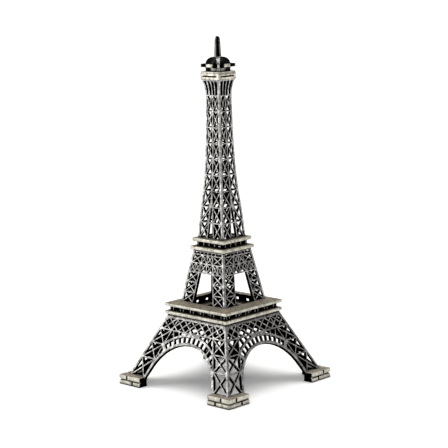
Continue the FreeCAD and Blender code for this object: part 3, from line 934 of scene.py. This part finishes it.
@dataclass
class MiddleSides(Side):
    """The four sides of the middle stage, with the gateway between the legs and two friezes."""

    bar: float = 0.42
    wall: float = 1.15
    base_half: float = 13.0
    top_half: float = 8.8
    chords: tuple[float, ...] = (40.65, 45.05, 49.4, 53.3, 57.0)
    top_chord: float = 58.35
    leg: Edge = field(default_factory=lambda: straight((36.3, 6.1), (57.0, 2.9)))
    short_row: tuple[float, ...] = (0.0, 2.25, 4.45)  # uprights of the row under the floor
    knot: float = 0.1          # crossings nearer to each other than this become one

    def __post_init__(self) -> None:
        """Takes the heights that the CAD decides."""
        self.sink = node_box("mid_side_front")[0].z
        self.floor = node_box("first_floor_upper_slab")[1].z
        self.top = node_box("second_floor_lower_slab")[0].z
        self.face = Face(((self.floor, self.base_half), (self.top, self.top_half)))

    def leg_middle(self, z: float) -> float:
        """Line half way between the leg's two bars."""
        return (self.leg(z) + self.corner(z)) / 2

    def build(self) -> Workpiece:
        """Models the front side.

        Returns:
            The finished casting.
        """
        sheet = self.sheet("mid_side", self.sink, self.top)
        springing, frieze, strip = self.chords[2:]
        for level in (springing, frieze, strip, self.top_chord):
            sheet.slice((0, level), (1, level))
        for way in (-1, 1):
            sheet.slice((way * self.corner(self.sink), self.sink), (way * self.corner(self.top), self.top))
            sheet.slice((way * self.leg(self.sink), self.sink), (way * self.leg(self.top), self.top),
                        lambda m: m.z < strip)
        for level in (self.floor - 0.1, *self.chords[:2]):
            sheet.slice((0, level), (1, level), lambda m: self.leg(m.z) < abs(m.x))
        sheet.slice((0, springing), (0, strip), lambda m: springing < m.z < strip
                    and abs(m.x) < self.leg(m.z))
        for way in (-1, 1):
            sheet.slice((way * self.leg_middle(springing), springing),
                        (way * self.leg_middle(frieze), frieze), lambda m, side=way:
                        springing < m.z < frieze and self.leg(m.z) < m.x * side < self.corner(m.z))
            for x in self.short_row:
                sheet.slice((way * x, strip), (way * x, self.top), lambda m: strip < m.z
                            < self.top_chord and abs(m.x) < self.corner(m.z))
        levels = (self.floor - 0.1, *self.chords[:3])
        for low, high in zip(levels, levels[1:]):
            self.cross(sheet, self.leg, self.corner, low, high)
        for inner, outer in ((middle_line, self.leg), (self.leg, self.leg_middle),
                             (self.leg_middle, self.corner)):
            self.cross(sheet, inner, outer, springing, frieze)
        for inner, outer in ((middle_line, self.leg), (self.leg, self.corner)):
            self.cross(sheet, inner, outer, frieze, strip)
        sheet.merge(self.knot)
        sheet.pierce(self.bar / 2, self.is_open)
        sheet.remove(lambda m, n: m.z < self.sink + self.bar and abs(m.x) < self.leg(m.z) - self.bar)
        return self.stand_up(sheet)

    def is_open(self, middle: Vector) -> bool:
        """Whether a cell of the sheet is an opening in the casting.

        Args:
            middle: The cell's middle.

        Returns:
            False where the casting stays solid.
        """
        if abs(middle.x) > self.corner(middle.z) or middle.z > self.top_chord:
            return False
        return middle.z > self.floor - 0.1 or abs(middle.x) < self.leg(middle.z)


@dataclass
class ShaftSides(Side):
    """The four tall sides of the shaft, which end in a ribbed flare and the square gallery wall."""

    bar: float = 0.42
    corner_bar: float = 0.9
    wall: float = 0.95
    edge_round: float = 0.09
    bays: int = 9
    open_bays: int = 2         # lowest bays, where the gap between the two inner bars is open
    top: float = 125.1         # height of the last cross
    flare_top: float = 132.0
    strip: float = 0.45        # solid strip under the gallery wall
    gallery_half: float = 5.35
    splay: float = 1.9         # how far from the middle the two inner bars start
    splay_top: float = 84.4    # height at which they meet
    half_widths: tuple[Point, ...] = ((64.0, 7.3), (75.6, 6.4), (82.8, 5.55), (92.5, 4.8),
                                      (102.6, 4.35), (109.0, 4.15), (125.1, 3.95))
    flare: tuple[Point, ...] = ((127.0, 4.02), (129.0, 4.3), (130.8, 4.75), (131.95, 5.2))
    slot: tuple[float, float, float] = (133.0, 133.6, 4.0)  # lowest, highest and half length
    rib_share: float = 0.48    # how far out the flare's middle ribs stand, as a share of its half

    def __post_init__(self) -> None:
        """Takes the heights that the CAD decides, and bends the face at the chords only."""
        self.base = node_box("second_floor_upper_slab")[1].z
        self.wall_top = node_box("shaft_side_front")[1].z
        height = (self.top - self.base) / self.bays
        self.levels = [self.base + step * height for step in range(self.bays + 1)]
        true_face = Face(self.half_widths)
        self.face = Face((*((z, true_face.at(z)) for z in self.levels), *self.flare,
                          (self.flare_top, self.gallery_half), (self.wall_top, self.gallery_half)))

    def split(self, z: float) -> float:
        """Distance of the two inner bars from the middle of the face."""
        return max(0.0, self.splay * (self.splay_top - z) / (self.splay_top - self.base))

    def build(self) -> Workpiece:
        """Models the front side.

        Returns:
            The finished casting.
        """
        sheet = self.sheet("shaft_side", self.base, self.wall_top)
        flare_high = self.flare_top - self.strip
        for level in (*self.levels[1:], *(z for z, _ in self.flare), flare_high, self.flare_top):
            sheet.slice((0, level), (1, level))
        bends = [*self.levels, *(z for z, _ in self.flare[:-1]), flare_high]
        for low, high in zip(bends, bends[1:]):
            for way in (-1, 1):
                self.run(sheet, self.corner, way, low, high)
                if low < self.splay_top - 0.1:
                    self.run(sheet, self.split, way, low, high)
                if low >= self.top:
                    self.run(sheet, lambda z: self.rib_share * self.corner(z), way, low, high)
            if low >= self.splay_top - 0.1:
                sheet.slice((0, low), (0, high), lambda m, z0=low, z1=high: z0 < m.z < z1
                            and abs(m.x) < self.corner(m.z))
        for low, high in zip(self.levels, self.levels[1:]):
            self.cross(sheet, self.split, self.corner, low, high)
        flare_bends = [z for z, _ in self.flare[:-1]]
        sheet.pick(Element.EDGE, lambda a, b: abs(a.x + b.x) / 2 < self.corner(a.z)
                   and any(abs(a.z - z) + abs(b.z - z) < 1e-3 for z in flare_bends))
        bpy.ops.mesh.dissolve_edges(use_verts=False)
        self.cut_slot(sheet)
        sheet.pierce(self.bar / 2, self.is_open)
        return self.stand_up(sheet)

    def run(self, sheet: Workpiece, edge: Edge, way: int, low: float, high: float) -> None:
        """Cuts one stretch of an upright bar's line on one half of the sheet."""
        sheet.slice((way * edge(low), low), (way * edge(high), high),
                    lambda m: low < m.z < high)

    def cut_slot(self, sheet: Workpiece) -> None:
        """Cuts the long slot in the gallery wall.

        Args:
            sheet: The sheet.
        """
        low, high, half = self.slot
        for level in (low, high):
            sheet.slice((0, level), (1, level))
        for way in (-1, 1):
            sheet.slice((way * half, low), (way * half, high), lambda m: low < m.z < high)
        sheet.remove(lambda m, n: low < m.z < high and abs(m.x) < half)

    def is_open(self, middle: Vector) -> bool:
        """Whether a cell of the sheet is an opening in the casting.

        Args:
            middle: The cell's middle.

        Returns:
            False where the casting stays solid.
        """
        if middle.z > self.flare_top - self.strip or abs(middle.x) > self.corner(middle.z):
            return False
        if abs(middle.x) < self.split(middle.z):
            return middle.z < self.levels[self.open_bays]
        return True


# --- feet and floors ------------------------------------------------------------------------------

@dataclass
class Feet:
    """The four L-shaped masonry feet, each of two courses."""

    arm: float = 12.6          # length of each arm of the L
    inner_top: float = 28.1    # how far from the tower's middle planes the inner walls stand
    bed_depth: float = 0.7     # depth and half height of the groove between the courses
    bed_half: float = 0.45
    joint: float = 0.85        # width and depth of the upright joints
    joint_depth: float = 0.8
    joints: tuple[tuple[float, int], ...] = ((4.7, 1), (8.0, 0))  # place from the corner, and course
    bond: float = 0.2          # height of stone left between a joint and the other course
    spare: float = 1.0         # how far the cutters stand out of the stone
    edge_round: float = 0.22

    def __post_init__(self) -> None:
        """Takes the size that the CAD decides."""
        low, high = node_box("foot_front_right")
        self.half, self.top = high.x, high.z

    def build(self) -> Workpiece:
        """Models the foot at the front-right corner.

        Returns:
            The finished foot.
        """
        far, inner, course = self.half - self.arm, self.inner_top, self.top / 2
        foot = Workpiece("foot", Vector((far, -self.half, 0)), Vector((self.half, -far, self.top)))
        for place, normal in (((inner, 0, 0), (1, 0, 0)), ((0, -inner, 0), (0, 1, 0))):
            foot.pick_all()
            bpy.ops.mesh.bisect(plane_co=place, plane_no=normal)
        foot.remove(lambda m, n: m.x < inner - NEAR and m.y > -inner + NEAR)
        self.close_inside(foot)
        for level in (course - self.bed_half, course, course + self.bed_half):
            foot.level_cut(level)
        for axis, sign in ((0, 1), (1, -1)):
            foot.pick(Element.VERTEX, lambda co, a=axis, s=sign: near(co.z, course)
                      and near(co[a] * s, self.half))
            bpy.ops.transform.translate(value=[-sign * self.bed_depth * (way == axis)
                                               for way in range(3)])
        foot.carve(*self.joint_cutters())
        foot.heal()
        foot.round_edges(self.edge_round, segments=3, angle=30)
        return foot

    def close_inside(self, foot: Workpiece) -> None:
        """Closes the two walls that face the tower's middle after the corner is cleared.

        Args:
            foot: The foot.
        """
        for axis, sign in ((0, 1), (1, -1)):
            foot.pick(Element.VERTEX, lambda co, a=axis, s=sign: near(co[a] * s, self.inner_top)
                      and co[1 - a] * -s <= self.inner_top + NEAR)
            bpy.ops.mesh.edge_face_add()

    def joint_cutters(self) -> list[Workpiece]:
        """Blocks that cut the upright joints on both outer faces.

        Returns:
            Two blocks for each joint.
        """
        cutters = []
        course = self.top / 2
        front, back = self.half - self.joint_depth, self.half + self.spare
        for offset, row in self.joints:
            near_end, far_end = (self.half - offset + way * self.joint / 2 for way in (-1, 1))
            low = (course + self.bond) if row else -self.spare
            high = (self.top + self.spare) if row else course - self.bond
            for corner, opposite in (((near_end, -back), (far_end, -front)),
                                     ((front, -far_end), (back, -near_end))):
                cutters.append(Workpiece("joint", Vector((*corner, low)), Vector((*opposite, high))))
        return cutters


@dataclass
class Floor:
    """One galleried floor: a lower slab, a low arcaded wall and an upper slab."""

    stage: str
    lower_well: float                # half width of the lower slab's well
    upper_well: Point                # half width of the upper slab's well, below and above
    gallery_half: float
    gallery_wall: float
    pilasters: tuple[float, ...]     # places along a side
    windows: tuple[float, ...]
    window: Point                    # width and height
    raised: tuple[Point, ...] = ()   # raised field on top, as (height, half width) points
    pilaster: float = 0.48
    pilaster_depth: float = 0.5
    window_round: float = 0.42       # radius of a window's corners, as a share of its height
    edge: float = 0.48               # radius of the slabs' bullnose
    gallery_round: float = 0.08

    def slab(self, node: str, wells: Point, raised: tuple[Point, ...] = ()) -> Workpiece:
        """Models a square slab with a bullnose edge and a square well.

        Args:
            node: CAD node it stands for.
            wells: Half width of the well below and above.
            raised: Raised field on top, as (height, half width) points.

        Returns:
            The slab.
        """
        low, high = node_box(node)
        top = raised[0][0] if raised else high.z
        slab = Workpiece(f"{node}_plate", low, Vector((high.x, high.y, top)))
        half = high.x
        if raised:
            slab.pick(Element.FACE, lambda m, n: n.z > SQUARE)
            bpy.ops.mesh.inset(thickness=half - raised[0][1])
            for (_, start), (z, end) in zip(raised, raised[1:]):
                slab.rise(z, end / start)
                half = end
        for way, outline, well in ((-1, high.x, wells[0]), (1, half, wells[1])):
            slab.pick(Element.FACE, lambda m, n, w=way: n.z * w > SQUARE and self.central(m))
            bpy.ops.mesh.inset(thickness=outline - well)
        slab.pick(Element.FACE, lambda m, n: abs(n.z) > SQUARE and self.central(m))
        bpy.ops.mesh.bridge_edge_loops()
        slab.pick(Element.EDGE, lambda a, b: abs(a.z - b.z) > 0.1 and near(abs(a.x), high.x)
                  and near(abs(a.y), high.y))
        bpy.ops.mesh.bevel(offset=self.edge, segments=5)
        slab.heal()
        slab.round_edges(self.edge * 0.9, segments=4)
        return slab

    @staticmethod
    def central(middle: Vector) -> bool:
        """Whether a face's middle lies on the tower's axis."""
        return abs(middle.x) + abs(middle.y) < 0.1

    def gallery(self) -> Workpiece:
        """Models the arcaded wall as one ring.

        Returns:
            The ring.
        """
        node = f"{self.stage}_gallery"
        low, high = node_box(node)
        half = self.gallery_half
        sheet = Workpiece(f"{node}_wall", Vector((-half - 1, 0, low.z)), Vector((half + 1, 0, high.z)),
                          flat=True)
        edges = sorted(x + way * self.pilaster / 2 for x in self.pilasters for way in (-1, 1))
        middle, (width, height) = (low.z + high.z) / 2, self.window
        for x in edges:
            sheet.slice((x, low.z), (x, high.z))
        for x in self.windows:
            for way in (-1, 1):
                sheet.slice((x + way * width / 2, 0), (x + way * width / 2, 1),
                            lambda m, c=x: abs(m.x - c) < width)
            for way in (-1, 1):
                level = middle + way * height / 2
                sheet.slice((0, level), (1, level), lambda m, c=x: abs(m.x - c) < width / 2 - NEAR)
            sheet.pick(Element.VERTEX, lambda co, c=x: near(abs(co.x - c), width / 2)
                       and near(abs(co.z - middle), height / 2))
            bpy.ops.mesh.bevel(offset=height * self.window_round, segments=4, affect="VERTICES")
            sheet.remove(lambda m, n, c=x: near(m.x, c, 0.1) and near(m.z, middle, 0.1))
        sheet.pick_all()
        bpy.ops.transform.translate(value=(0, -half, 0))
        sheet.thicken(self.gallery_wall)
        sheet.pick(Element.FACE, lambda m, n: n.y < -SQUARE
                   and any(near(m.x, x, self.pilaster / 2 - NEAR) for x in self.pilasters))
        sheet.extrude(0, -self.pilaster_depth, 0)
        sheet.mitre(0, closed=False)
        sheet.absorb(*(sheet.turned("side", quarter) for quarter in (1, 2, 3)))
        sheet.heal(0.005)
        sheet.round_edges(self.gallery_round)
        return sheet

    def hand_over(self, stone: bpy.types.Material, arcade: bpy.types.Material) -> None:
        """Models and finishes the floor's three pieces.

        Args:
            stone: Finish of both slabs.
            arcade: Finish of the wall between them.
        """
        lower, upper = f"{self.stage}_lower_slab", f"{self.stage}_upper_slab"
        self.slab(lower, (self.lower_well, self.lower_well)).hand_over(stone, Slot.FLOOR, lower)
        self.gallery().hand_over(arcade, Slot.LATTICE, f"{self.stage}_gallery")
        self.slab(upper, self.upper_well, self.raised).hand_over(stone, Slot.FLOOR, upper)


@dataclass
class Crown:
    """What stands on the top gallery: its floor, the domed lantern, the balcony and the mast."""

    core: float = 3.3                    # radius of the drum and dome
    dome_base: float = 138.6
    dome_rise: float = 2.8
    dome_turn: float = 67.0              # how far round the dome goes before it is flat, in degrees
    dome_steps: int = 8
    band: tuple[float, ...] = (0.5, 0.85, 1.35)  # levels over the drum's foot; it is proud of the last two
    band_swell: float = 1.05
    rib_start: float = 1.2               # how far from the axis the ribs start and end
    rib_radius: float = 5.3
    rib_width: float = 1.4
    rib_steps: int = 7
    rib_fullness: float = 0.85           # below 1 the arch is fuller than an ellipse
    shoulder: float = 138.4              # height from which the ribs arch inwards
    groove: float = 0.3                  # depth of the groove down a rib's back
    groove_edge: float = 0.4             # what stands beside it
    floor_thick: float = 0.7
    spigot_step: float = 1.2             # how far the spigot stands in from the floor's edge
    notch_start: float = 2.5             # where the balcony's notches for the ribs start
    mast_fin: float = 1.2
    mast_reach: Point = (1.6, 1.25)      # half width of the mast at its foot and near its tip
    mast_levels: Point = (2.5, 5.0)      # levels over the mast's foot
    mast_nose: tuple[Point, ...] = ((1.6, 1.0), (0.9, 0.92), (0.35, 0.72), (0.0, 0.42))  # depth, share

    def __post_init__(self) -> None:
        """Takes the heights that the CAD decides."""
        self.floor_low, self.floor_high = node_box("top_gallery_floor")
        self.base, self.crown = (corner.z for corner in node_box("lantern"))
        self.plate_low, self.plate_high = node_box("balcony_plate")
        self.tip = node_box("mast")[1].z

    def floor(self) -> Workpiece:
        """Models the top gallery's floor, with the spigot that fits inside the wall.

        Returns:
            The floor.
        """
        low, high = self.floor_low, self.floor_high
        plate_low = Vector((low.x, low.y, high.z - self.floor_thick))
        floor = Workpiece("top_gallery_floor_plate", plate_low, high)
        floor.pick(Element.FACE, lambda m, n: n.z < -SQUARE)
        bpy.ops.mesh.inset(thickness=self.spigot_step)
        floor.rise(low.z)
        floor.heal()
        floor.round_edges(0.2, segments=3)
        return floor

    def dome(self) -> Workpiece:
        """Models the drum and dome.

        Returns:
            The closed turned shape.
        """
        core = Workpiece.round_block("lantern_dome", self.core, self.base, self.dome_base, sides=64)
        for level in self.band:
            core.level_cut(self.base + level)
        foot, head = (self.base + level for level in self.band[1:])
        core.pick(Element.FACE, lambda m, n: foot < m.z < head and abs(n.z) < 0.1)
        core.extrude(0, 0, 0)
        core.scale_plan(self.band_swell)
        core.pick(Element.FACE, lambda m, n: n.z > SQUARE and near(m.z, self.dome_base))
        radius = self.core
        for step in range(1, self.dome_steps + 1):
            turn = step * math.radians(self.dome_turn) / self.dome_steps
            new = self.core * math.cos(turn)
            core.rise(self.dome_base + self.dome_rise * math.sin(turn), new / radius)
            radius = new
        return core

    def rib(self) -> Workpiece:
        """Models one arched rib on the tower's +X side, with a groove down its back.

        Returns:
            The rib.
        """
        low, high = self.rib_start, self.rib_radius
        rib = Workpiece("rib", Vector((low, 0, self.base)), Vector((high, 0, self.crown)), flat=True)
        rise, reach = self.crown - self.shoulder, high - low
        turns = [step * math.pi / 2 / self.rib_steps for step in range(self.rib_steps + 1)]
        arc = [(low + reach * math.cos(turn) ** self.rib_fullness, self.shoulder + rise * math.sin(turn))
               for turn in turns]
        for start, end in zip(arc, arc[1:]):
            rib.slice(start, end, clear=True)
        rib.thicken(self.rib_width, offset=0)
        rib.heal()
        rib.pick(Element.FACE, lambda m, n: abs(n.y) < 0.1 and (n.x > 0.5 or n.z > 0.3))
        bpy.ops.mesh.inset(thickness=self.groove_edge, depth=-self.groove, use_boundary=True)
        rib.round_edges(0.07)
        return rib

    def lantern(self) -> Workpiece:
        """Puts the ribs round the dome.

        Returns:
            The lantern.
        """
        core = self.dome()
        core.heal()
        core.round_edges(0.07)
        rib = self.rib()
        ribs = [rib.turned("rib", 0.5 + quarter) for quarter in range(4)]
        bpy.ops.object.mode_set(mode="OBJECT")
        bpy.data.objects.remove(rib.object)
        core.absorb(*ribs)
        return core

    def balcony(self) -> Workpiece:
        """Models the balcony plate, notched where the ribs pass it.

        Returns:
            The plate.
        """
        low, high = self.plate_low, self.plate_high
        plate = Workpiece("balcony", low, high)
        hole = Workpiece.round_block("hole", self.core + FIT, low.z - 1, high.z + 1, sides=64)
        notches = []
        for quarter in range(4):
            aside = self.rib_width / 2 + FIT
            notch = Workpiece("notch", Vector((self.notch_start, -aside, low.z - 1)),
                              Vector((self.rib_radius + FIT, aside, high.z + 1)))
            notch.pick_all()
            notch.turn((0.5 + quarter) * math.pi / 2)
            notches.append(notch)
        plate.carve(hole, *notches)
        plate.heal()
        plate.round_edges(0.2, segments=3)
        return plate

    def mast(self) -> Workpiece:
        """Models the mast: four fins that end in a round tip.

        Returns:
            The mast.
        """
        fin, (wide, narrow) = self.mast_fin / 2, self.mast_reach
        base, tip = self.crown, self.tip
        mast = Workpiece("mast_fins", Vector((-fin, -fin, base)), Vector((fin, fin, tip)))
        nose = [(tip - depth, share * narrow / wide) for depth, share in self.mast_nose]
        taper = straight((base, 1.0), nose[0])
        plan = [(z, taper(z)) for z in (base + level for level in self.mast_levels)] + nose
        for z, _ in plan[:-1]:
            mast.level_cut(z)
        for x, y in ((1, 0), (-1, 0), (0, 1), (0, -1)):
            mast.pick(Element.FACE, lambda m, n, a=x, b=y: n.x * a + n.y * b > SQUARE
                      and abs(m.x * b) + abs(m.y * a) < fin / 2)
            mast.extrude(x * (wide - fin), y * (wide - fin), 0)
        for z, share in plan:
            mast.pick(Element.VERTEX, lambda co, level=z: near(co.z, level))
            mast.scale_plan(share)
        mast.heal()
        mast.round_edges(0.16, segments=3)
        return mast


# --- studio ---------------------------------------------------------------------------------------

@dataclass
class Studio:
    """A pale floor, soft lights and the camera."""

    eye: Vector = field(default_factory=lambda: Vector((0.4639, -0.4915, 0.1885)))
    target: Vector = field(default_factory=lambda: Vector((0.0, 0.0, 0.06945)))
    roll: float = -1.32
    lens: float = 128.04
    shift: float = 0.0054
    floor_radius: float = 8.0
    room_light: float = 0.28             # strength of the white room all round
    ceiling_light: float = 3.2           # light from straight above, in watts for each square metre
    ceiling_spread: float = 80.0         # how wide it looks from below, in degrees
    key_place: Vector = field(default_factory=lambda: Vector((-0.75, -0.72, 0.4)))
    key_aim: Vector = field(default_factory=lambda: Vector((0, 0, 0.07)))
    key_size: Point = (1.0, 0.7)
    key_power: float = 4.3

    def camera(self) -> None:
        """Places the camera."""
        data = bpy.data.cameras.new("camera")
        data.lens, data.sensor_width, data.shift_x = self.lens, 36.0, self.shift
        data.clip_start, data.clip_end = 0.01, 20.0
        camera = bpy.data.objects.new("camera", data)
        bpy.context.scene.collection.objects.link(camera)
        turn = (self.target - self.eye).to_track_quat("-Z", "Y").to_matrix().to_4x4()
        camera.matrix_world = (Matrix.Translation(self.eye) @ turn
                               @ Matrix.Rotation(math.radians(self.roll), 4, "Z"))
        bpy.context.scene.camera = camera

    def lamp(self, name: str, place: Vector, aim: Vector, size: Point, power: float) -> None:
        """Adds a soft box lamp.

        Args:
            name: Its name.
            place: Where it hangs, in metres.
            aim: What it points at.
            size: Its width and height, in metres.
            power: Its power in watts.
        """
        data = bpy.data.lights.new(name, "AREA")
        data.shape, data.energy = "RECTANGLE", power
        data.size, data.size_y = size
        lamp = bpy.data.objects.new(name, data)
        bpy.context.scene.collection.objects.link(lamp)
        lamp.matrix_world = (Matrix.Translation(place)
                             @ (aim - place).to_track_quat("-Z", "Y").to_matrix().to_4x4())
        lamp.visible_camera = False

    def build(self) -> None:
        """Sets up the room, the floor, the lights and the camera."""
        scene = bpy.context.scene
        scene.view_settings.view_transform = "Standard"
        world = bpy.data.worlds.new("white_room")
        world.use_nodes = True
        room = world.node_tree.nodes["Background"].inputs
        room["Color"].default_value, room["Strength"].default_value = (1, 1, 1, 1), self.room_light
        scene.world = world
        Workpiece.clear_bench()
        bpy.ops.mesh.primitive_circle_add(vertices=96, radius=self.floor_radius, fill_type="NGON",
                                          location=AXIS)
        floor = bpy.context.object
        floor.name = "pale_floor"
        material = bpy.data.materials.new("pale_matt_card")
        material.use_nodes = True
        shader = material.node_tree.nodes["Principled BSDF"]
        shader.inputs["Base Color"].default_value = linear("#FBFBFA")
        shader.inputs["Roughness"].default_value = 0.7
        floor.data.materials.append(material)
        ceiling = bpy.data.lights.new("ceiling", "SUN")
        ceiling.energy, ceiling.angle = self.ceiling_light, math.radians(self.ceiling_spread)
        scene.collection.objects.link(bpy.data.objects.new("ceiling", ceiling))
        self.lamp("key", self.key_place, self.key_aim, self.key_size, self.key_power)
        self.camera()


def main() -> None:
    """Builds every piece in order."""
    logging.basicConfig(level=logging.INFO, format="%(name)s: %(message)s")
    # Wiped hard: bright bars with worn high spots. Near the top the wipe left the wash's warm tone.
    silver = AntiquedZinc("antiqued_zinc_rubbed_silver", dulled="#55534F", raised="#A09E9B",
                          worn="#F0EEEA", warm_above_mm=131.8).make()
    # Dabbed with a warm wash: matt beige that hides most of the metal, darker and browner where faces look
    # up.
    beige = AntiquedZinc("antiqued_zinc_warm_wash", dulled="#858278", raised="#C0BDB0",
                         worn="#E8E4DA", level_tint="#C8BFB6", metallic=0.6, reach=0.4).make()
    # Left black, with a faint shine: only the ribs' backs and the drum's rim catch the cloth.
    # Its painted shade from ambient occlusion reaches 0.9 mm from a neighbour.
    black = AntiquedZinc("antiqued_zinc_left_black", dulled="#8A8885", raised="#C4C2BE",
                         worn="#E4E2DE", centre_mm=Crown.dome_base, drum_mm=3.75, ridge_mm=0.7,
                         reach=0.6, occlusion_shade_mm=0.9, lacquer=0.15).make()
    # Black with the wash wiped on at the corners and at the middle of each side.
    balcony = AntiquedZinc("antiqued_zinc_worn_mid_edge", dulled="#858278", raised="#C0BDB0",
                           worn="#E8E4DA", metallic=0.6, reach=0.5, middles_mm=1.6, ridge_mm=0.35).make()
    # Hard to reach with a cloth: dark grey with a few rubbed specks.
    dull = AntiquedZinc("antiqued_zinc_half_rubbed", dulled="#1E1C1A", raised="#6E6C69",
                        worn="#B4B2AE", mottle_mm=1.1, reach=0.86).make()
    # As it leaves the mould: even light grey, never blackened.
    plain = AntiquedZinc("plain_zinc_as_cast", dulled="#8C8C8E", raised="#A5A5A8", worn="#C4C4C6",
                         reach=-1.5).make()
    set_round(Feet().build(), "foot", "block", CORNERS, beige, Slot.FLOOR)
    for stage, sides in (("lower_side", LowerSides()), ("mid_side", MiddleSides()),
                         ("shaft_side", ShaftSides())):
        set_round(sides.build(), stage, "casting", SIDES, silver, Slot.LATTICE)
    pairs = tuple(centre + way * 0.9 for centre in (-15, -9, -3, 3, 9, 15) for way in (-1, 1))
    for floor in (Floor("first_floor", 11.0, (13.76, 13.0), 16.15, 1.0, pairs, (-12, -6, 0, 6, 12),
                        (2.2, 1.3), raised=((35.6, 17.5), (36.3, 13.6))),
                  Floor("second_floor", 4.0, (4.8, 4.8), 7.6, 0.9, (-6.4, -3.2, 0, 3.2, 6.4),
                        (-4.8, -1.6, 1.6, 4.8), (1.6, 1.0))):
        # The cloth touches the pilasters' fronts and not the wall behind them, which stays black.
        arcade = AntiquedZinc(f"antiqued_zinc_{floor.stage}_arcade", dulled="#5F5D5A", raised="#9A9895",
                              worn="#D6D5D2", proud_mm=floor.gallery_half + 0.25).make()
        floor.hand_over(beige, arcade)
    crown = Crown()
    crown.floor().hand_over(beige, Slot.FLOOR, "top_gallery_floor")
    crown.lantern().hand_over(black, Slot.DARK, "lantern")
    crown.balcony().hand_over(balcony, Slot.FLOOR, "balcony_plate")
    crown.mast().hand_over(dull, Slot.LATTICE, "mast")
    for node in ("first_floor_dowels", "second_floor_dowels"):
        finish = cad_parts[node].data.materials
        finish.clear()
        finish.append(plain)
    Studio().build()


if __name__ == "__main__":
    main()
